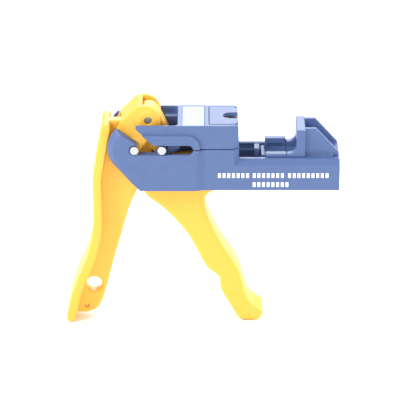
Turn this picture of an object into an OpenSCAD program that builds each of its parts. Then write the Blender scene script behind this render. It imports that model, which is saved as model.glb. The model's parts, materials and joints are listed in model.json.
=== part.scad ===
// Punch down tool for modular jacks: a squeeze handle drives a blade carriage along a base,
// towards a nest that holds the jack. Millimetres. The shapes are drawn from the anchor axis,
// with +X towards the nest, and every node is then moved so that the origin lies on the
// standing plane, under the middle of the tool.

/* [Head] */
// Half width of the carriage and of the front part of the base
head_half = 19; // [18.5:0.5:20]
// Half width of the raised field around the slot
boss_half = 21; // [20.8:0.1:21.4]
// Height of the carriage top above the anchor axis
carriage_top = 16.5; // [16:0.5:18]
// Distance from the anchor axis to the front end of the base
base_front = 135.5; // [134:0.5:138]
// Depth of the base below the anchor axis
base_depth = 29.4; // [29:0.2:30]

/* [Linkage] */
// Distance from the anchor axis to the drive pin when the handles are open
pin_gap = 18.1; // [18:0.1:18.4]
// Length of the yoke and of the drive arm, between pin centres
link_length = 19.8; // [19.6:0.1:20]
// Diameter of the anchor pins and of the drive pin
pin_d = 5.8; // [5.4:0.1:5.9]
// Diameter of the elbow pin
elbow_pin_d = 5; // [4:0.1:5.4]
// Radial clearance where a pin turns in plastic
running_gap = 0.05; // [0.02:0.01:0.08]

/* [Handles] */
// Half width of the rear lever's flange
flange_half = 13.8; // [12:0.1:14]
// Half thickness of the rear lever's web
web_half = 4; // [3:0.5:4]
// Thickness of the rear lever's flange
flange_t = 6.2; // [5:0.1:6.4]
// Half width of the front grip
grip_half = 11.5; // [10:0.5:12]
// Diameter of the hanging hole in the rear lever
hang_hole_d = 10.6; // [8:0.2:10.6]
// Diameter of the lanyard hole in the rear lever
lanyard_hole_d = 3.4; // [3:0.1:4]

/* [Blades] */
// Height between neighbouring seating blades
blade_pitch = 3.2; // [3:0.1:3.3]
// Distance of each blade row from the middle plane
blade_row_y = 6.2; // [6:0.1:6.6]
// Thickness of a seating blade
blade_t = 1; // [0.8:0.1:1.2]

/* [Hidden] */
$fn = 64;

blue = [0.36, 0.46, 0.70];
yellow = [1.0, 0.78, 0.16];
steel = [0.80, 0.81, 0.83];
tan_plastic = [0.74, 0.62, 0.42];
label_blue = [0.72, 0.80, 0.95];

// Linkage: the elbow stands over the middle of the anchor and the drive pin.
elbow = [pin_gap / 2, sqrt(link_length * link_length - pin_gap * pin_gap / 4)];
drive = [pin_gap, 0];
pin_r = pin_d / 2;

// Base and carriage levels, measured from the anchor axis.
inner_half = 14.4;      // clear half width between the base's rear walls
left_half = 20.5;       // half width of the base's rear block
wall_top = -8;          // top of the base's front walls
ledge_z = -11.5;        // ledges that the carriage and the nest stand on
trough_half = 8.8;      // half width of the deep channel between the ledges
channel_half = 12.2;    // half width of the channel above the ledges
floor_t = 4.4;          // thickness of the base's floor
slot_half = 3.3;        // half height of the drive slot
slot_end = 35.4;        // centre of the slot's round front end
rear_r = 17.8;          // radius of the base's round rear end
bevel_r = 14;           // radius inside the rear end's bevel
split_z = 0.1;          // height of the joint between base and carriage
block_front = 69;       // front of the base's tall block, in line with the carriage front
cavity_front = 46;      // front end of the base's rear cavity
corner_x = 3.7;         // corner chamfer of carriage and block, along X
corner_y = 3.3;         // and across
ride_gap = 0.2;         // gap between the carriage and what it runs on
split_gap = 0.45;       // open joint line between base and carriage
ring_gap = 0.45;        // countersink ring around each anchor pin

// Points on an arc, from angle a to angle b.
function arc(c, r, a, b, n = 12) = [for (i = [0:n]) let (t = a + (b - a) * i / n) c + r * [cos(t), sin(t)]];
// One span of a smooth curve through points, and the whole curve.
function span(p, q, r, s, t) =
    0.5 * (2 * q + (r - p) * t + (2 * p - 5 * q + 4 * r - s) * t * t + (3 * q - p - 3 * r + s) * t * t * t);
function smooth(pts, n = 5) = let (m = len(pts) - 1)
    concat([for (i = [0:m - 1]) for (k = [0:n - 1])
        span(pts[max(i - 1, 0)], pts[i], pts[i + 1], pts[min(i + 2, m)], k / n)], [pts[m]]);
// The outline that wraps two circles.
function wrap(c1, r1, c2, r2) = let (d = c2 - c1, a = atan2(d[1], d[0]), b = acos((r1 - r2) / norm(d)))
    concat(arc(c1, r1, a + b, a + 360 - b, 20), arc(c2, r2, a - b, a + b, 20));
// Unit normal of a curve at its point i, and a band of thickness t along the curve with round ends.
function normal_at(pts, i) = let (d = pts[min(i + 1, len(pts) - 1)] - pts[max(i - 1, 0)])
    [-d[1], d[0]] / norm(d);
function band(pts, t) = let (m = len(pts) - 1, na = normal_at(pts, 0), nb = normal_at(pts, m),
                             aa = atan2(na[1], na[0]), ab = atan2(nb[1], nb[0]))
    concat([for (i = [0:m]) pts[i] + normal_at(pts, i) * t / 2],
           [for (k = [1:7]) pts[m] + t / 2 * [cos(ab - k * 22.5), sin(ab - k * 22.5)]],
           [for (i = [m:-1:0]) pts[i] - normal_at(pts, i) * t / 2],
           [for (k = [1:7]) pts[0] + t / 2 * [cos(aa + 180 - k * 22.5), sin(aa + 180 - k * 22.5)]]);

// Middle line of the rear lever's flange, from its top to its toe.
flange_line = smooth([[-18.9, 12], [-20.6, 3], [-23.4, -12], [-25.2, -26], [-25.0, -44],
                      [-25.6, -62], [-29.4, -80], [-35.9, -97], [-40.6, -110], [-44.2, -126.4]]);
flange_outline = band(flange_line, flange_t);
hang_hole_at = [-28.6, -105.4];
lanyard_hole_at = [-33.9, -121.7];
// Front edge of the lever's web, from the drive pin down to the toe.
web_edge = smooth([[12, -5], [6, -20], [1.4, -35], [-4, -47.9], [-9.3, -66.7], [-15.8, -90.2],
                   [-21.4, -112.1], [-26.4, -123.2], [-34, -126.8]]);
// Rear and front edges of the grip, from the base down to the foot.
grip_rear = concat([[5.6, -base_depth - 0.1], [5.6, -34.6]],
                   smooth([[9.8, -39.3], [20.5, -47.9], [34.7, -64.9], [45.5, -85.9], [48.6, -91.2]]),
                   smooth([[53.3, -94.2], [56.6, -98], [56.8, -104.6], [60.9, -113.5], [67.9, -125.4]]),
                   arc([73.4, -124.4], 5.2, 190, 270, 6));
grip_front = concat(arc([80.6, -124], 5.6, 270, 380, 8),
                    smooth([[80.2, -118.4], [76.2, -113.6], [73.2, -104.5], [68.6, -89.6],
                            [56.2, -69.2], [48.6, -52.2], [46.5, -43.4]]),
                    arc([53.8, -41], 7.4, 170, 100, 6), [[55.4, -33], [55.4, -base_depth - 0.1]]);
grip_outline = concat(grip_rear, grip_front);

// Where the standing plane and the middle of the tool lie in the drawing.
x_low = min([for (p = flange_outline) p[0]]);
z_low = min(min([for (p = flange_outline) p[1]]), min([for (p = grip_outline) p[1]]));

module place() translate([-(x_low + base_front) / 2, 0, -z_low]) children();
// A slab with an outline drawn in X and Z, from y = a to y = b.
module slab(a, b) translate([0, b, 0]) rotate([90, 0, 0]) linear_extrude(b - a) children();
// The same slab on both sides of the middle plane.
module both_slabs(a, b) { slab(a, b) children(); slab(-b, -a) children(); }
// A prism along X, with a section drawn in Y and Z.
module prism(x0, x1) translate([x0, 0, 0]) rotate([90, 0, 90]) linear_extrude(x1 - x0) children();
// A block between two corners.
module block(a, b) translate(a) cube(b - a);
// The same block mirrored to both sides; a and b are given for the +Y side.
module both_blocks(a, b) { block(a, b); mirror([0, 1, 0]) block(a, b); }
// A rod along Y at a point of the XZ drawing, from y = a to y = b.
module rod(p, r, a, b) translate([p[0], b, p[1]]) rotate([90, 0, 0]) cylinder(h = b - a, r = r);

// Plan section of the head's tall block: the front corners are cut off.
module head_plan(half, front) polygon([[-30, -half], [front - corner_x, -half], [front, corner_y - half],
                                       [front, half - corner_y], [front - corner_x, half], [-30, half]]);

module base_side() polygon(concat(
    [[-10.6, 12.6], [1, 4.3], [1.9, 3.6], [1.9, -slot_half]], [[slot_end, -slot_half]],
    arc([slot_end, 0], slot_half, -80, 0, 6), [[slot_end + slot_half, split_z - split_gap]],
    [[block_front, split_z - split_gap], [block_front, wall_top], [base_front, wall_top],
     [base_front, -base_depth], [3.6, -base_depth]], arc([0, 0], rear_r, 223, 128, 16)));

module base_section() polygon([[-head_half, -base_depth - 1], [head_half, -base_depth - 1],
    [head_half, wall_top - 3.8], [head_half - 3.8, wall_top], [3.8 - head_half, wall_top],
    [-head_half, wall_top - 3.8]]);

// Triangle that the bevel cuts away, at an angle around the anchor axis. It stands on the outline
// of the rear end, size is its width across the side, and along moves it down the sloping edge.
module bevel_cut(angle, size, along) rotate([0, -angle, 0]) translate([rear_r, boss_half + 0.02, along])
    linear_extrude(0.01) polygon([[0.5, 0], [-size, 0], [0.5, -size - 0.5]]);

// Thinner wall behind the slot, so that the pin is guided only at the outside.
module slot_relief(z0, z1) both_blocks([23, inner_half - 2, z0], [39.4, left_half - 2.3, z1]);

module head_base_shape() difference() {
    union() {
        // rear block, between the round end and the front corner chamfers
        intersection() {
            slab(-left_half, left_half) base_side();
            translate([0, 0, -40]) linear_extrude(80) {
                head_plan(head_half, block_front);
                polygon([[-30, -left_half], [41, -left_half], [46, -head_half], [46, head_half],
                         [41, left_half], [-30, left_half]]);
            }
        }
        // front part with its sloped shoulders
        intersection() {
            slab(-head_half, head_half) base_side();
            prism(60, base_front) base_section();
        }
        // raised field around the slot
        intersection() {
            slab(-boss_half, boss_half) base_side();
            slab(-boss_half, boss_half) polygon(concat(arc([0, 0], 14.2, 128, 250, 14),
                [[17, -14.4], [30, -10.6], [39, -6.4], [43, -2.6], [43.6, 1], [30, 8], [0, 14]]));
        }
    }
    // wide bevel around the round rear end, which runs out along the sloping edge below
    for (side = [-1, 1]) scale([1, side, 1]) {
        translate([0, boss_half + 0.01, 0]) rotate([90, 0, 0]) intersection() {
            difference() {
                translate([-25, -25, 0]) cube([50, 50, 4]);
                cylinder(h = 4, r1 = bevel_r, r2 = bevel_r + 4.2);
            }
            linear_extrude(5) polygon([[0, 0], [-6, 30], [-40, 30], [-40, -40 * tan(43)]]);
        }
        hull() {
            bevel_cut(223, rear_r - bevel_r, 0);
            bevel_cut(223, 0.2, 19);
        }
    }
    // open space for the linkage, between the rear walls
    block([-30, -inner_half, -base_depth - 1], [cavity_front, inner_half, 20]);
    // channel for the carriage tongues and the nest, its side grooves and the deep trough
    block([cavity_front - 1, -channel_half, ledge_z], [131.5, channel_half, 10]);
    both_blocks([cavity_front - 1, 0, ledge_z], [84, channel_half + 1.4, ledge_z + 1.9]);
    block([cavity_front - 1, -trough_half, -base_depth + floor_t], [131.5, trough_half, 10]);
    slot_relief(-6.5, split_z);
    // seats of the anchor pins
    rod([0, 0], pin_r + running_gap, -30, 30);
    for (side = [-1, 1]) scale([1, side, 1]) rod([0, 0], pin_r + ring_gap, boss_half - 1.5, boss_half + 1);
    // holes for the nest screws and the grip screws
    for (x = nest_screw_x) {
        translate([x, 0, -base_depth - 1]) cylinder(h = 10, r = 1.8);
        translate([x, 0, -base_depth - 1]) cylinder(h = 3.2, r = 3.6);
    }
    for (p = grip_screw_at) {
        rod(p, 1.8, inner_half - 1, boss_half + 1);
        rod(p, 3.6, left_half - 2.8, boss_half + 1);
    }
}

nest_screw_x = [93.5, 123];
grip_screw_at = [[16, -22.4], [38, -22.4]];

module head_base() color(blue) place() head_base_shape();

module front_grip() color(yellow) place() difference() {
    union() {
        slab(-grip_half, grip_half) polygon(grip_outline);
        // neck that stands between the rear walls of the base
        slab(-inner_half + 0.15, inner_half - 0.15)
            polygon([[9, -base_depth - 0.05], [8.2, -16], [cavity_front - 0.2, -13],
                     [cavity_front - 0.2, -base_depth - 0.05]]);
        block([9, -grip_half, -base_depth - 1], [cavity_front - 0.2, grip_half, -base_depth]);
    }
    // channel that the lever's web swings into
    slab(-web_half - 0.8, web_half + 0.8)
        polygon([[0, 0], [39, 0], [39, -46], [38, -60], [32, -73], [0, -60]]);
    for (p = grip_screw_at) rod(p, 1.65, 4, inner_half + 1);
}

// Pan head screw along +Z with its head at z = 0 and its tip at -length.
module screw(length, r = 1.6, head_r = 3.2, head_h = 2) difference() {
    union() {
        translate([0, 0, -length]) cylinder(h = length + 0.1, r = r);
        cylinder(h = head_h, r = head_r);
    }
    for (a = [0, 90]) rotate(a) translate([-1.9, -0.4, head_h - 1]) cube([3.8, 0.8, 2]);
}

module grip_screws() color(steel) place()
    for (p = grip_screw_at) translate([p[0], left_half - 2.75, p[1]]) rotate([-90, 0, 0]) screw(11);

module nest_screws() color(steel) place()
    for (x = nest_screw_x) translate([x, 0, -base_depth + 2.15]) rotate([180, 0, 0]) screw(9);

// Nest for the jack. Its floor carries the jack, and its post locates it.
cradle_x = [86.5, 100.5];
nest_floor = -10.3;
pocket_half = 8.4;
nest_half = 13.1;

module nest_foot(x0, x1) {
    block([x0, -trough_half + 0.1, -base_depth + floor_t + 0.05], [x1, trough_half - 0.1, -10.5]);
    block([x0, -channel_half + 0.1, ledge_z + 0.05], [x1, channel_half - 0.1, wall_top + 0.5]);
}

module jack_cradle() color(blue) place() difference() {
    union() {
        nest_foot(cradle_x[0], cradle_x[1]);
        // near wall is low and far wall is high
        block([cradle_x[0], -nest_half, wall_top + 0.05], [cradle_x[1], nest_half, -5.6]);
        block([cradle_x[0], pocket_half, wall_top + 0.05], [cradle_x[1], nest_half, -3.2]);
        // tongue and locating post ahead of the cradle
        block([79.2, -4.4, -base_depth + floor_t + 0.05], [82.7, 4.4, -5.3]);
        block([79.2, -4.4, -base_depth + floor_t + 0.05], [cradle_x[0] + 0.1, 4.4, -14]);
        block([83.6, -pocket_half, -18], [cradle_x[0] + 0.1, pocket_half, -8.2]);
    }
    block([cradle_x[0] - 0.1, -pocket_half, nest_floor], [cradle_x[1] + 1, pocket_half, 5]);
    block([cradle_x[0] + 2, pocket_half - 0.1, nest_floor], [cradle_x[1] - 2, pocket_half + 1.2, -7]);
    translate([nest_screw_x[0], 0, -base_depth]) cylinder(h = 14, r = 1.65);
}

// Upright that the jack is pressed against, its curved cheeks and two gussets.
stop_x = [106.9, 112.8];
gusset_half = 10.5;
stop_top = 11;

module back_stop() color(blue) place() difference() {
    union() {
        nest_foot(cradle_x[1] + 0.1, 131.3);
        block([cradle_x[1] + 0.1, -nest_half, wall_top + 0.05], [stop_x[1], nest_half, nest_floor + 4.7]);
        // cheeks rise in a hollow curve to the top of the upright
        both_slabs(pocket_half, nest_half) polygon(concat(
            [[cradle_x[1] + 0.1, wall_top + 0.05], [cradle_x[1] + 0.1, -5.6]],
            arc([101.6, 0.3], 5.9, 280, 355, 8), [[stop_x[0] + 0.6, stop_top], [stop_x[1], stop_top],
             [stop_x[1], wall_top + 0.05]]));
        block([stop_x[0], -nest_half, wall_top + 0.05], [stop_x[1], nest_half, stop_top]);
        block([stop_x[1] - 1, -gusset_half, wall_top + 0.05], [134.4, gusset_half, wall_top + 1.4]);
        both_slabs(gusset_half - 2.9, gusset_half) polygon([
            [stop_x[1] - 0.5, wall_top + 0.05], [stop_x[1] - 0.5, stop_top + 0.3],
            [119.8, stop_top + 0.3], [134.8, -5.2], [134.8, wall_top + 0.05]]);
    }
    // floor and hollow face of the pocket
    block([cradle_x[1], -pocket_half, nest_floor], [stop_x[0], pocket_half, 3]);
    rod([stop_x[0] - 2.9, -4.6], 5.7, -pocket_half, pocket_half);
    translate([nest_screw_x[1], 0, -base_depth]) cylinder(h = 14, r = 1.65);
}

// Two ears and a roof. The ears carry the elbow pin and turn on the anchor pins.
ear_in = 8.5;
ear_out = 12.1;
crown = [6.3, elbow[1] - 0.5];
crown_r = 10.8;

function ear_outline() = concat(arc(crown, crown_r, -28, 128, 22), [[-9.2, 16.4], [-13.9, 7.2]],
    arc(elbow, link_length + 4.9, 204, 238, 8), arc([0, 0], 4.9, -100, -30, 6));

module toggle_yoke() color(yellow) place() difference() {
    union() {
        both_slabs(ear_in, ear_out) polygon(ear_outline());
        for (p = [elbow, [0, 0]]) {
            rod(p, p == elbow ? 6.3 : 4.9, ear_in, ear_out + 0.5);
            rod(p, p == elbow ? 6.3 : 4.9, -ear_out - 0.5, -ear_in);
        }
        // roof over the lever's hub
        slab(-ear_in - 0.1, ear_in + 0.1) polygon(concat(
            arc(crown, crown_r, 96, 128, 8), [[-9.2, 16.4], [-7.6, 15.4]],
            arc(crown, crown_r - 2, 128, 96, 8)));
    }
    rod(elbow, elbow_pin_d / 2 + 0.02, -20, 20);
    rod([0, 0], pin_r + 0.02, -20, 20);
}

module anchor_pin() rod([0, 0], pin_r, ear_in + 0.1, boss_half + 0.5);
module anchor_pin_left() color(steel) place() anchor_pin();
module anchor_pin_right() color(steel) place() mirror([0, 1, 0]) anchor_pin();

module elbow_pin() color(steel) place() rod(elbow, elbow_pin_d / 2, -ear_out + 0.4, ear_out - 0.4);

// Torsion spring on the elbow pin. Its coils stand beside the lever's hub, and its long leg
// runs along under the roof.
hub_half = 6;           // half width of the lever's hub
spring_wire = 0.6;
spring_r = 3.9;
spring_pitch = 0.61;
spring_turns = 3;
spring_leg = [[-9.6, 14.6], [-8.6, 14.2], [0, 13.8], [6, 13.7]];
spring_path = concat([for (p = spring_leg) [p[0], hub_half + 0.35, p[1]]],
    [for (t = [0:20:360 * spring_turns])
        [elbow[0] + spring_r * cos(270 + t), hub_half + 0.35 + spring_pitch * t / 360,
         elbow[1] + spring_r * sin(270 + t)]]);
// A wire swept along a path that stays close to the XZ plane.
module wire(path, d, sides = 8) {
    last = len(path) - 1;
    points = [for (i = [0:last])
        let (w = path[min(i + 1, last)] - path[max(i - 1, 0)], u = [-w[2], 0, w[0]] / norm([w[2], w[0]]))
        for (k = [0:sides - 1])
            path[i] + d / 2 * (cos(k * 360 / sides) * u + sin(k * 360 / sides) * [0, 1, 0])];
    skin = [for (i = [0:last - 1]) for (k = [0:sides - 1])
        let (a = i * sides + k, b = i * sides + (k + 1) % sides) [a, b, b + sides, a + sides]];
    polyhedron(points, concat([[for (k = [sides - 1:-1:0]) k]], skin,
                              [[for (k = [0:sides - 1]) last * sides + k]]));
}
module return_spring() color([0.25, 0.22, 0.2]) place() wire(spring_path, spring_wire);

module hub_spacer() color([0.9, 0.9, 0.88]) place() difference() {
    rod(elbow, 4.4, -ear_in + 0.1, -hub_half - 0.1);
    rod(elbow, elbow_pin_d / 2 + running_gap, -20, 0);
}

module rear_lever() color(yellow) place() difference() {
    union() {
        slab(-flange_half, flange_half) polygon(flange_outline);
        // web between the flange and the front edge, and its reach up to the hub
        slab(-web_half, web_half) polygon(concat([[-19, 14.4], [-10.4, 14.4], elbow, [pin_gap, -2]], web_edge,
            [[-40, -126.8], [-37.4, -110], [-32.7, -97], [-25.8, -80], [-22.4, -62], [-21.8, -44],
             [-22, -26], [-20.2, -12], [-17.4, 3], [-18, 12]]));
        // hub and drive arm
        slab(-hub_half, hub_half) polygon(wrap(elbow, 8.1, drive, 7.4));
        rod(drive, 7.9, -8, 8);
    }
    rod(elbow, elbow_pin_d / 2 + running_gap, -20, 20);
    rod(drive, pin_r + 0.02, -20, 20);
    rod(hang_hole_at, hang_hole_d / 2, -20, 20);
    rod(lanyard_hole_at, lanyard_hole_d / 2, -20, 20);
}

module drive_pin() color(steel) place() rod(drive, pin_r, -boss_half - 0.5, boss_half + 0.5);

// Side view of the carriage: its rear edge slopes over the mouth of the slot.
module carriage_side() polygon(concat(
    [[0.9, carriage_top], [0.9, 14], [12.6, slot_half], [slot_end, slot_half]],
    arc([slot_end, 0], slot_half, 80, 2, 6), [[slot_end + slot_half, split_z], [block_front, split_z],
    [block_front - 0.8, carriage_top]]));

// Window in the carriage top, with two round corners.
module window_plan(half = 17.2, front = 28.3, r = 2.4) {
    polygon([[-5, -half], [front - r, -half], [front - r, half], [-5, half]]);
    polygon([[front - r - 1, r - half], [front, r - half], [front, half - r], [front - r - 1, half - r]]);
    for (y = [r - half, half - r]) translate([front - r, y]) circle(r);
}

module carriage_shell() difference() {
    union() {
        intersection() {
            slab(-head_half, head_half) carriage_side();
            translate([0, 0, -5]) linear_extrude(40) head_plan(head_half, block_front);
        }
        // raised field above the slot
        intersection() {
            slab(-boss_half, boss_half) carriage_side();
            slab(-boss_half, boss_half)
                polygon(concat([[0, 0], [3, 10.4]], arc([34.6, 1.6], 8.8, 90, 0, 10), [[43.4, 0]]));
        }
        // tongues with lips that run in the grooves of the base
        both_blocks([cavity_front + 1, trough_half + 0.2, ledge_z + ride_gap],
                    [68, channel_half - ride_gap, 3]);
        both_blocks([cavity_front + 1, trough_half + 0.2, ledge_z + ride_gap],
                    [68, channel_half + 1.2, ledge_z + 1.7]);
    }
    // window and rear cavity
    block([-5, -13, -20], [29, 13, carriage_top - 5.2]);
    translate([0, 0, carriage_top - 5.3]) linear_extrude(20) window_plan();
    slot_relief(-1, 6.5);
    block([28, -13, -20], [44, 13, carriage_top - 4]);
    // front cavity for the blade holder
    block([47.9, -trough_half, -20], [75, trough_half, 0.5]);
    block([47.9, -13, 0.4], [75, 13, 13.9]);
    // label recess, cover recess and cable notch
    block([31.5, -17.2, carriage_top - 0.8], [46, 17.2, 30]);
    block([49.2, -15.6, carriage_top - 1.2], [75, 15.6, 30]);
    block([63.2, -4.95, 10], [75, 4.95, 30]);
    translate([63.2, 0, 10]) cylinder(h = 20, r = 4.95);
    for (y = [-9, 9]) translate([clamp_x, y, 10]) cylinder(h = 20, r = 1.8);
}

// Lugs inside the carriage that hold the drive pin, with some play along the slide.
seat_play = 0.8;
module drive_lugs() difference() {
    both_slabs(8.9, 13.2) polygon([[14.2, 5.6], [14.2, -5.4], [24, -5.4], [30, -2], [30, 12.6], [20, 12.6]]);
    block([10, -30, -pin_r - 0.1], [pin_gap + seat_play, 30, pin_r + 0.1]);
    rod([pin_gap + seat_play, 0], pin_r + 0.1, -30, 30);
}

module slide_carriage() color(blue) place() union() {
    carriage_shell();
    drive_lugs();
}

module label_plate() color(label_blue) place()
    block([31.6, -17.1, carriage_top - 0.75], [45.9, 17.1, carriage_top - 0.25]);

module blade_cover() color(blue) place() difference() {
    block([49.35, -15.45, carriage_top - 1.15], [block_front - 0.9, 15.45, carriage_top + 0.15]);
    block([63.2, -4.95, 10], [75, 4.95, 30]);
    translate([63.2, 0, 10]) cylinder(h = 20, r = 4.95);
    // corners in line with the carriage
    for (s = [-1, 1]) translate([block_front + 1.2, s * (head_half - 2.2), 10])
        rotate(s * 41) cube([9, 9, 20], center = true);
}

holder_x = [48.1, 62];
clamp_x = 51.6;         // screws that clamp the holder, behind the blades
blade_x = 54.2;         // rear end of the blades
blade_z0 = 7.1 - 1.5 * blade_pitch;

module blade_holder() color(tan_plastic) place() difference() {
    block([holder_x[0], -12.8, 0.7], [holder_x[1], 12.8, 13.7]);
    // slots for the blades
    for (y = [-blade_row_y, blade_row_y]) for (i = [0:3])
        block([blade_x - 0.1, y - 2.3, blade_z0 + i * blade_pitch - blade_t / 2 - 0.05],
              [70, y + 2.3, blade_z0 + i * blade_pitch + blade_t / 2 + 0.05]);
    for (s = [-1, 1]) block([blade_x - 0.1, s * 10.2 - 0.45, 1.4], [70, s * 10.2 + 0.45, 12.8]);
    // passage for the cable
    translate([63.2, 0, 0]) cylinder(h = 20, r = 3.2);
    for (y = [-9, 9]) translate([clamp_x, y, 8]) cylinder(h = 20, r = 1.25);
}

module holder_screws() color(steel) place()
    for (y = [-9, 9]) translate([clamp_x, y, 0]) {
        translate([0, 0, 13.95]) cylinder(h = 1.3, r = 1.7);
        translate([0, 0, 9.5]) cylinder(h = 4.5, r = 1.2);
    }

// Seating blade: a plate with a forked tip. Blades 1 to 4 stand right, 5 to 8 left.
module seating_blade(k) color(steel) place()
    translate([0, k <= 4 ? -blade_row_y : blade_row_y, blade_z0 + ((k - 1) % 4) * blade_pitch - blade_t / 2])
    linear_extrude(blade_t) polygon([[blade_x, -2.2], [65.5, -2.2], [68.6, -1.3], [68.6, -0.35], [65.8, -0.35],
        [65.8, 0.35], [68.6, 0.35], [68.6, 1.3], [65.5, 2.2], [blade_x, 2.2]]);
module seating_blade_1() seating_blade(1);
module seating_blade_2() seating_blade(2);
module seating_blade_3() seating_blade(3);
module seating_blade_4() seating_blade(4);
module seating_blade_5() seating_blade(5);
module seating_blade_6() seating_blade(6);
module seating_blade_7() seating_blade(7);
module seating_blade_8() seating_blade(8);

// Trim blade: a long knife that cuts the wire ends of one row.
module trim_blade(side) color(steel) place() translate([0, side * 10.2, 1.5]) linear_extrude(11.2)
    polygon([[blade_x, -0.4], [67.4, -0.4], [68.7, 0], [67.4, 0.4], [blade_x, 0.4]]);
module trim_blade_left() trim_blade(1);
module trim_blade_right() trim_blade(-1);

head_base();
front_grip();
grip_screws();
jack_cradle();
back_stop();
nest_screws();
toggle_yoke();
anchor_pin_left();
anchor_pin_right();
elbow_pin();
return_spring();
hub_spacer();
rear_lever();
drive_pin();
slide_carriage();
label_plate();
blade_cover();
blade_holder();
holder_screws();
seating_blade_1();
seating_blade_2();
seating_blade_3();
seating_blade_4();
seating_blade_5();
seating_blade_6();
seating_blade_7();
seating_blade_8();
trim_blade_left();
trim_blade_right();
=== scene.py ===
"""A hand-squeezed punch down tool on a pale studio floor.

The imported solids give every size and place. This script softens the moulded parts' edges, gives each
part its finish, adds the screws, the printed marks and the label's arrows, and sets up the studio.
Lengths are in metres.
"""
import json
import math

import bmesh
import bpy
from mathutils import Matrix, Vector

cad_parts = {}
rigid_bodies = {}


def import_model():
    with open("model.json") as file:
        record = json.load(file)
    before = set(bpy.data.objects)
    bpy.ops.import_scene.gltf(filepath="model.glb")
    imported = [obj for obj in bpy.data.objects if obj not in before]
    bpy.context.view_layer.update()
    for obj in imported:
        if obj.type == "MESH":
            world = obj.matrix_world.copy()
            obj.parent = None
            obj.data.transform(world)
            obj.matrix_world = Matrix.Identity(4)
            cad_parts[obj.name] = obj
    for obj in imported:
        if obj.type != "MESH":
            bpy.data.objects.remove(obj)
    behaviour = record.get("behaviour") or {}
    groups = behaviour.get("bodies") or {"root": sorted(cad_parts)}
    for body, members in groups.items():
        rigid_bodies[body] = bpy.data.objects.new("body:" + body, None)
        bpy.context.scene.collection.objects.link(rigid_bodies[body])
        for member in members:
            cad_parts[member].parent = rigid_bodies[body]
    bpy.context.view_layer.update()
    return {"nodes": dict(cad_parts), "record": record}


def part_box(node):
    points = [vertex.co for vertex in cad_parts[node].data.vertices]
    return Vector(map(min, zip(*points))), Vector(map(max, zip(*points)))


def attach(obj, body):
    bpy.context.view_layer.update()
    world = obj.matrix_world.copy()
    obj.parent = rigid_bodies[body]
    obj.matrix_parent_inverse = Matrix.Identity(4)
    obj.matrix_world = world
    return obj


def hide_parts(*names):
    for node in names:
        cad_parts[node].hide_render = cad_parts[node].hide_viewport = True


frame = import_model()
MM = 0.001
BODY_OF = {node: body for body, nodes in frame["record"]["behaviour"]["bodies"].items() for node in nodes}
SLOT_OF = {part["node"]: part["material_slot"] for part in frame["record"]["subparts"]}


# ---------------------------------------------------------------- shader maths

class Sock:
    """A value or colour in a material's tree. Arithmetic on it adds Math nodes."""

    def __init__(self, tree, link):
        self.tree, self.link = tree, link

    def _math(self, operation, other, clamp=False):
        settings = {"operation": operation, "use_clamp": clamp}
        return self.tree.add("ShaderNodeMath", settings, {0: self, 1: other})

    def __add__(self, other):
        return self._math("ADD", other)

    def __sub__(self, other):
        return self._math("SUBTRACT", other)

    def __mul__(self, other):
        return self._math("MULTIPLY", other)

    def clamped(self):
        return self._math("ADD", 0.0, clamp=True)


class Finish:
    """A material with one Principled shader, built from named settings and sockets."""

    def __init__(self, name, **constants):
        self.material = bpy.data.materials.new(name)
        self.material.use_nodes = True
        self.nodes, self.links = self.material.node_tree.nodes, self.material.node_tree.links
        self.shader = self.nodes["Principled BSDF"]
        for socket, value in constants.items():
            self.shader.inputs[socket.replace("_", " ")].default_value = value
        self.place = self.add("ShaderNodeTexCoord", {}, {}, out="Object")

    def add(self, kind, settings, inputs, out=0):
        node = self.nodes.new(kind)
        for key, value in settings.items():
            setattr(node, key, value)
        for key, value in inputs.items():
            if isinstance(value, Sock):
                self.links.new(value.link, node.inputs[key])
            else:
                node.inputs[key].default_value = value
        return Sock(self, node.outputs[out])

    def noise(self, size, detail=2.0, stretch=(1, 1, 1)):
        """Noise with grains of a real size, in metres."""
        place = self.add("ShaderNodeMapping", {}, {"Vector": self.place, "Scale": stretch})
        return self.add("ShaderNodeTexNoise", {}, {"Vector": place, "Scale": 1 / size, "Detail": detail})

    def blend(self, factor, dark, light):
        """A colour between two, by a factor from 0 to 1."""
        return self.add("ShaderNodeMix", {"data_type": "RGBA"}, {0: factor, 6: dark, 7: light}, out=2)

    def feed(self, socket, value):
        self.links.new(value.link, self.shader.inputs[socket])

    def relief(self, height, depth):
        """Fine surface relief, with its real depth in metres."""
        bump = self.add("ShaderNodeBump", {}, {"Height": height, "Distance": depth, "Strength": 1.0})
        self.feed("Normal", bump)

    def vary_roughness(self, grain, middle, swing):
        """Roughness that swings about a middle value with the grain."""
        self.feed("Roughness", (grain * swing + (middle - swing / 2)).clamped())


def moulded_plastic(name, dark, light, roughness, grain, depth):
    """Moulded plastic: an even colour with slight clouding, and a fine spark-eroded texture."""
    contrast = 1.6
    finish = Finish(name, Specular_IOR_Level=0.45)
    cloud = finish.noise(9 * MM, 3.0)
    fine = finish.noise(grain, 4.0)
    finish.feed("Base Color", finish.blend(((cloud - 0.5) * contrast + 0.5).clamped(), dark, light))
    finish.vary_roughness(fine, roughness, 0.12)
    finish.relief(fine, depth)
    return finish.material


def turned_steel(name, dark, light, roughness):
    """Steel with fine tool marks across the pin's length."""
    finish = Finish(name, Metallic=1.0)
    marks = finish.noise(0.25 * MM, 2.0, stretch=(1, 0.15, 1))
    finish.feed("Base Color", finish.blend(marks, dark, light))
    finish.vary_roughness(marks, roughness, 0.2)
    return finish.material


def plain(name, colour, roughness):
    """An even finish, such as ink or natural nylon, a touch darker in places."""
    darker = 0.96
    finish = Finish(name, Roughness=roughness)
    tone = finish.noise(2 * MM)
    finish.feed("Base Color", finish.blend(tone, [darker * c for c in colour[:3]] + [1], colour))
    return finish.material


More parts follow.
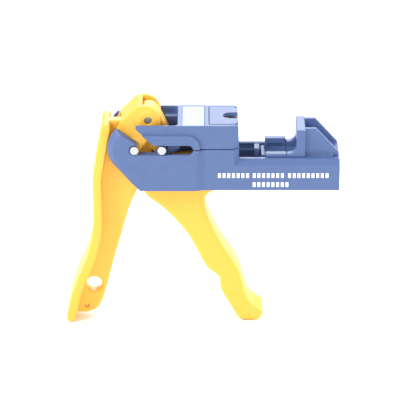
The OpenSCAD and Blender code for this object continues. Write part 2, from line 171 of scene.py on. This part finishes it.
FINISHES = {
    "blue_plastic": moulded_plastic(
        "blue moulded plastic", (0.078, 0.132, 0.300, 1), (0.092, 0.150, 0.330, 1),
        roughness=0.42, grain=0.35 * MM, depth=0.03 * MM),
    "yellow_plastic": moulded_plastic(
        "yellow moulded plastic", (0.92, 0.50, 0.055, 1), (0.96, 0.53, 0.065, 1),
        roughness=0.38, grain=0.5 * MM, depth=0.012 * MM),
    "steel": turned_steel(
        "turned steel", (0.42, 0.43, 0.45, 1), (0.66, 0.67, 0.69, 1), roughness=0.4),
    "spring_steel": turned_steel(
        "darkened spring steel", (0.030, 0.026, 0.022, 1), (0.075, 0.065, 0.055, 1), roughness=0.42),
    "tan_plastic": moulded_plastic(
        "tan moulded plastic", (0.34, 0.22, 0.09, 1), (0.42, 0.28, 0.12, 1),
        roughness=0.5, grain=0.5 * MM, depth=0.02 * MM),
    "label": plain("pale blue label", (0.25, 0.35, 0.55, 1), roughness=0.35),
    "nylon": plain("natural nylon", (0.82, 0.82, 0.78, 1), roughness=0.45),
}
INK = plain("white printing ink", (0.93, 0.94, 0.96, 1), roughness=0.55)
GREY_STEEL = turned_steel(
    "dull steel of the elbow pin", (0.30, 0.29, 0.28, 1), (0.42, 0.41, 0.39, 1), roughness=0.5)


# ---------------------------------------------------------------- moulded parts

def new_piece(name, mesh, body, slot, replaced=None, material=None):
    """An object at the origin that rides on a body and has one finish."""
    piece = bpy.data.objects.new(name, mesh)
    bpy.context.scene.collection.objects.link(piece)
    mesh.materials.clear()
    mesh.materials.append(material or FINISHES[slot])
    if replaced:
        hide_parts(replaced)
    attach(piece, body)
    return piece


def closed_copy(node, flat=0.5):
    """A merged copy of a CAD node's triangles, with its flat regions joined into single faces."""
    sheet = bmesh.new()
    sheet.from_mesh(frame["nodes"][node].data)
    bmesh.ops.remove_doubles(sheet, verts=sheet.verts, dist=0.001 * MM)
    if flat:
        bmesh.ops.dissolve_limit(sheet, angle_limit=math.radians(flat), verts=sheet.verts, edges=sheet.edges)
    mesh = bpy.data.meshes.new(node + " copy")
    sheet.to_mesh(mesh)
    sheet.free()
    return mesh


def finished(mesh, modifiers):
    """The mesh after its modifiers, as a plain mesh."""
    worker = bpy.data.objects.new("worker", mesh)
    bpy.context.scene.collection.objects.link(worker)
    for kind, settings in modifiers:
        modifier = worker.modifiers.new(kind.lower(), kind)
        for key, value in settings.items():
            setattr(modifier, key, value)
    graph = bpy.context.evaluated_depsgraph_get()
    result = bpy.data.meshes.new_from_object(worker.evaluated_get(graph))
    bpy.data.objects.remove(worker)
    return result


CREASE = math.radians(32)  # edges sharper than this are broken


def crisp_part(node, edge):
    """A moulded or turned part with its edges broken by a small round."""
    mesh = finished(closed_copy(node), [
        ("BEVEL", {"width": edge, "segments": 3, "limit_method": "ANGLE", "angle_limit": CREASE,
                   "use_clamp_overlap": True, "miter_outer": "MITER_ARC"}),
    ])
    mesh.polygons.foreach_set("use_smooth", [True] * len(mesh.polygons))
    mesh = finished(mesh, [("WEIGHTED_NORMAL", {"weight": 80, "keep_sharp": False})])
    return new_piece(node + "_finished", mesh, BODY_OF[node], SLOT_OF[node], node)


def soft_part(node, voxel, passes, keep):
    """A moulded part with rounded edges: more passes round them more, and keep thins the mesh afterwards."""
    mesh = finished(closed_copy(node, 0), [
        ("REMESH", {"mode": "VOXEL", "voxel_size": voxel, "use_smooth_shade": True}),
        ("SMOOTH", {"factor": 0.5, "iterations": passes}),
        ("DECIMATE", {"ratio": keep}),
    ])
    mesh.polygons.foreach_set("use_smooth", [True] * len(mesh.polygons))
    return new_piece(node + "_finished", mesh, BODY_OF[node], SLOT_OF[node], node)


SOFT_PARTS = [  # node, voxel size, smoothing passes, share of the triangles kept
    ("front_grip", 0.7 * MM, 70, 1.0),
    ("rear_lever", 0.6 * MM, 12, 1.0),
    ("toggle_yoke", 0.42 * MM, 5, 1.0),
    ("head_base", 0.4 * MM, 5, 0.28),
    ("slide_carriage", 0.34 * MM, 5, 0.35),
    ("jack_cradle", 0.3 * MM, 4, 0.5),
    ("back_stop", 0.34 * MM, 4, 0.4),
]
for soft_node, voxel, passes, keep in SOFT_PARTS:
    soft_part(soft_node, voxel, passes, keep)

BROKEN_EDGES = {  # node: width of the broken edge
    "blade_cover": 0.25 * MM,
    "blade_holder": 0.15 * MM,
    "label_plate": 0.1 * MM,
    "anchor_pin_left": 0.35 * MM,
    "anchor_pin_right": 0.35 * MM,
    "drive_pin": 0.35 * MM,
    "hub_spacer": 0.2 * MM,
}
for crisp_node, edge in BROKEN_EDGES.items():
    crisp_part(crisp_node, edge)
crisp_part("elbow_pin", 0.4 * MM).data.materials[0] = GREY_STEEL
crisp_part("return_spring", 0.0)  # round wire has no edge to break, only shading to smooth


# ---------------------------------------------------------------- repeated pieces, by Geometry Nodes

class Recipe:
    """A Geometry Nodes tree with named inputs that ends in Realize Instances and Set Material."""

    KINDS = {"float": "NodeSocketFloat", "int": "NodeSocketInt", "vector": "NodeSocketVector",
             "rotation": "NodeSocketRotation", "material": "NodeSocketMaterial"}

    def __init__(self, name, **inputs):
        self.tree = bpy.data.node_groups.new(name, "GeometryNodeTree")
        self.tree.interface.new_socket("Geometry", in_out="OUTPUT", socket_type="NodeSocketGeometry")
        self.ids = {}
        for key, kind in {**inputs, "finish": "material"}.items():
            socket = self.tree.interface.new_socket(key, in_out="INPUT", socket_type=self.KINDS[kind])
            self.ids[key] = socket.identifier
        self.given = self.tree.nodes.new("NodeGroupInput")

    def value(self, key):
        return self.given.outputs[key]

    def add(self, kind, settings=None, inputs=None, out=0):
        node = self.tree.nodes.new(kind)
        for key, value in (settings or {}).items():
            setattr(node, key, value)
        for key, value in (inputs or {}).items():
            for one in value if isinstance(value, list) else [value]:
                if isinstance(one, bpy.types.NodeSocket):
                    self.tree.links.new(one, node.inputs[key])
                else:
                    node.inputs[key].default_value = one
        return node.outputs[out]

    def finish(self, geometry):
        real = self.add("GeometryNodeRealizeInstances", {}, {0: geometry})
        done = self.add("GeometryNodeSetMaterial", {}, {"Geometry": real, "Material": self.value("finish")})
        end = self.tree.nodes.new("NodeGroupOutput")
        self.tree.links.new(done, end.inputs[0])
        return self

    def make(self, name, body, slot, replaced=None, **values):
        """A plain mesh made by the recipe, as a piece on a body."""
        worker = bpy.data.objects.new("worker", bpy.data.meshes.new("worker"))
        bpy.context.scene.collection.objects.link(worker)
        modifier = worker.modifiers.new("recipe", "NODES")
        modifier.node_group = self.tree
        material = values.setdefault("finish", FINISHES[slot])
        for key, value in values.items():
            modifier[self.ids[key]] = value
        graph = bpy.context.evaluated_depsgraph_get()
        mesh = bpy.data.meshes.new_from_object(worker.evaluated_get(graph))
        worker.modifiers.remove(modifier)
        bpy.data.objects.remove(worker)
        return new_piece(name, mesh, body, slot, replaced, material)


def row_recipe(name, shape, **inputs):
    """A recipe for a row of one shape. shape(recipe) returns the shape's geometry."""
    recipe = Recipe(name, start="vector", step="vector", count="int", turn="rotation", **inputs)
    line = recipe.add("GeometryNodeMeshLine", {"mode": "OFFSET"}, {
        "Count": recipe.value("count"),
        "Start Location": recipe.value("start"),
        "Offset": recipe.value("step")})
    row = recipe.add("GeometryNodeInstanceOnPoints", {}, {
        "Points": line, "Instance": shape(recipe), "Rotation": recipe.value("turn")})
    return recipe.finish(row)


RECESS_LENGTH, RECESS_WIDTH, RECESS_DEPTH = 3.8 * MM, 0.8 * MM, 1.0 * MM


def cross_head_screw(recipe):
    """A pan head that stands on z = 0 with a cross recess, on a shank that points down."""
    half = recipe.add("ShaderNodeMath", {"operation": "MULTIPLY"}, {0: recipe.value("head height"), 1: 0.5})
    down = recipe.add("ShaderNodeMath", {"operation": "MULTIPLY"}, {0: recipe.value("shank length"), 1: -0.5})
    head = recipe.add("GeometryNodeMeshCylinder", {}, {
        "Vertices": 40, "Radius": recipe.value("head radius"), "Depth": recipe.value("head height")})
    head = recipe.add("GeometryNodeTransform", {}, {
        "Geometry": head, "Translation": recipe.add("ShaderNodeCombineXYZ", {}, {"Z": half})})
    bars = [recipe.add("GeometryNodeTransform", {}, {
        "Geometry": recipe.add("GeometryNodeMeshCube", {}, {"Size": size}),
        "Translation": recipe.add("ShaderNodeCombineXYZ", {}, {"Z": recipe.value("head height")})})
        for size in ((RECESS_LENGTH, RECESS_WIDTH, 2 * RECESS_DEPTH),
                     (RECESS_WIDTH, RECESS_LENGTH, 2 * RECESS_DEPTH))]
    head = recipe.add("GeometryNodeMeshBoolean", {"operation": "DIFFERENCE", "solver": "EXACT"},
                      {"Mesh 1": head, "Mesh 2": bars})
    shank = recipe.add("GeometryNodeMeshCylinder", {}, {
        "Vertices": 24, "Radius": recipe.value("shank radius"), "Depth": recipe.value("shank length")})
    shank = recipe.add("GeometryNodeTransform", {}, {
        "Geometry": shank, "Translation": recipe.add("ShaderNodeCombineXYZ", {}, {"Z": down})})
    return recipe.add("GeometryNodeJoinGeometry", {}, {0: [head, shank]})


def flat_bar(recipe):
    return recipe.add("GeometryNodeMeshCube", {}, {"Size": recipe.value("size")})


ARM_OFFSET = 1.15 * MM  # each arm's middle, from the arrow's own middle line
ARM_SLANT = math.radians(50)


def chevron(recipe):
    """Two bars that meet in a point towards +X."""
    arms = [recipe.add("GeometryNodeTransform", {}, {
        "Geometry": recipe.add("GeometryNodeMeshCube", {}, {"Size": recipe.value("arm")}),
        "Translation": (0, side * ARM_OFFSET, 0), "Rotation": (0, 0, -side * ARM_SLANT)})
        for side in (-1, 1)]
    return recipe.add("GeometryNodeJoinGeometry", {}, {0: arms})


SCREWS = row_recipe("row of screws", cross_head_screw, **{
    "head radius": "float", "head height": "float", "shank radius": "float", "shank length": "float"})
BARS = row_recipe("row of printed bars", flat_bar, size="vector")
CHEVRONS = row_recipe("row of arrows", chevron, arm="vector")

HEAD_RADIUS, HEAD_HEIGHT, SHANK_RADIUS = 3.2 * MM, 2.0 * MM, 1.6 * MM


def screw_row(node, along, out, turn):
    """Screws in place of a CAD node: two in a row along one axis, with their heads towards another."""
    low, high = (Vector(corner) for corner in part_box(node))
    middle = (low + high) / 2
    out_axis = max(range(3), key=lambda k: abs(out[k]))
    top = high if out[out_axis] > 0 else low
    start = middle.copy()
    start[along] = low[along] + HEAD_RADIUS
    start[out_axis] = top[out_axis] - out[out_axis] * HEAD_HEIGHT
    step = Vector((0, 0, 0))
    step[along] = high[along] - low[along] - 2 * HEAD_RADIUS
    sizes = {"head radius": HEAD_RADIUS, "head height": HEAD_HEIGHT, "shank radius": SHANK_RADIUS,
             "shank length": high[out_axis] - low[out_axis] - HEAD_HEIGHT}
    SCREWS.make(node + "_finished", BODY_OF[node], SLOT_OF[node], node,
                start=start, step=step, count=2, turn=turn, **sizes)


screw_row("grip_screws", 0, (0, 1, 0), (math.radians(-90), 0, 0))
screw_row("nest_screws", 0, (0, 0, -1), (math.radians(180), 0, 0))

# Printed marks on the base's near side, in two rows of bars
base_low, base_high = (Vector(corner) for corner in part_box("head_base"))
base_points = [vertex.co for vertex in frame["nodes"]["head_base"].data.vertices]
near_face = min(point.y for point in base_points if point.x > base_high.x - 0.01 * MM)
INK_T = 0.06 * MM
BAR = (1.9 * MM, INK_T, 3.3 * MM)
BAR_PITCH = 3.1 * MM
PRINT_GROUPS = [  # first bar's middle behind the base's front, and above its underside; number of bars
    (79.5 * MM, 10.8 * MM, 7),
    (56.5 * MM, 10.8 * MM, 7),
    (33.2 * MM, 10.8 * MM, 9),
    (56.5 * MM, 4.3 * MM, 8),
]
for number, (behind, above, count) in enumerate(PRINT_GROUPS, 1):
    BARS.make(f"printed_bars_{number}", "head", "label", finish=INK, size=BAR, turn=(0, 0, 0), count=count,
              start=(base_high.x - behind, near_face, base_low.z + above), step=(BAR_PITCH, 0, 0))

# Arrows on the label
label_low, label_high = (Vector(corner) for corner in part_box("label_plate"))
ARM = (3.0 * MM, 0.9 * MM, 2 * INK_T)
ARROWS = 5
END_MARGIN = 6 * MM
arrow_step = (label_high.y - label_low.y - 2 * END_MARGIN) / (ARROWS - 1)
first_arrow = ((label_low.x + label_high.x) / 2, label_low.y + END_MARGIN, label_high.z)
CHEVRONS.make("label_arrows", "carriage", "label", finish=INK, arm=ARM, turn=(0, 0, 0),
              count=ARROWS, start=first_arrow, step=(0, arrow_step, 0))

# The CAD nodes that stay take their slot's finish
for node, piece in frame["nodes"].items():
    piece.data.materials.clear()
    piece.data.materials.append(FINISHES[SLOT_OF[node]])


# ---------------------------------------------------------------- studio

def area_light(name, place, aim, size, power):
    """A round white panel that faces a point. Size is its diameter, and power is in watts."""
    lamp = bpy.data.lights.new(name, "AREA")
    lamp.shape, lamp.size, lamp.energy = "DISK", size, power
    holder = bpy.data.objects.new(name, lamp)
    holder.location = place
    holder.rotation_euler = (Vector(aim) - Vector(place)).to_track_quat("-Z", "Y").to_euler()
    bpy.context.scene.collection.objects.link(holder)


scene = bpy.context.scene
scene.view_settings.view_transform = "Standard"
scene.view_settings.look = "None"

FLOOR_REACH = 6
floor_mesh = bpy.data.meshes.new("floor")
floor_corners = [(x * FLOOR_REACH, y * FLOOR_REACH, 0) for x, y in ((-1, -1), (1, -1), (1, 1), (-1, 1))]
floor_mesh.from_pydata(floor_corners, [], [(0, 1, 2, 3)])
floor = bpy.data.objects.new("floor", floor_mesh)
scene.collection.objects.link(floor)
floor_mesh.materials.append(plain("white floor", (0.95, 0.95, 0.95, 1), 0.9))

world = bpy.data.worlds.new("studio")
scene.world = world
world.use_nodes = True
world.node_tree.nodes["Background"].inputs["Color"].default_value = (1, 1, 1, 1)
world.node_tree.nodes["Background"].inputs["Strength"].default_value = 0.8

area_light("key", place=(-0.9, -0.5, 1.1), aim=(0, 0, 0.09), size=0.6, power=15)
area_light("back panel", place=(0.1, 1.3, 0.9), aim=(0, 0, 0.1), size=1.2, power=15)
area_light("right panel", place=(1.2, 0.35, 0.5), aim=(0, 0, 0.08), size=0.8, power=16)
area_light("front fill", place=(0.1, -1.4, 0.35), aim=(0, 0, 0.08), size=0.9, power=4)

CAMERA_RISE = math.radians(24)
CAMERA_DISTANCE = 1.7
FRAME_WIDTH = 0.2685  # what the view takes in, at the target
SENSOR_WIDTH = 36  # in millimetres, as Blender has it
AIM_BEHIND_FRONT = 92.3 * MM
AIM_HEIGHT = 84.9 * MM
TARGET = Vector((base_high.x - AIM_BEHIND_FRONT, 0, AIM_HEIGHT))
camera = bpy.data.objects.new("camera", bpy.data.cameras.new("camera"))
camera.data.sensor_width = SENSOR_WIDTH
camera.data.lens = SENSOR_WIDTH * CAMERA_DISTANCE / FRAME_WIDTH
camera.location = TARGET + CAMERA_DISTANCE * Vector((0, -math.cos(CAMERA_RISE), math.sin(CAMERA_RISE)))
camera.rotation_euler = (TARGET - camera.location).to_track_quat("-Z", "Y").to_euler()
scene.collection.objects.link(camera)
scene.camera = camera
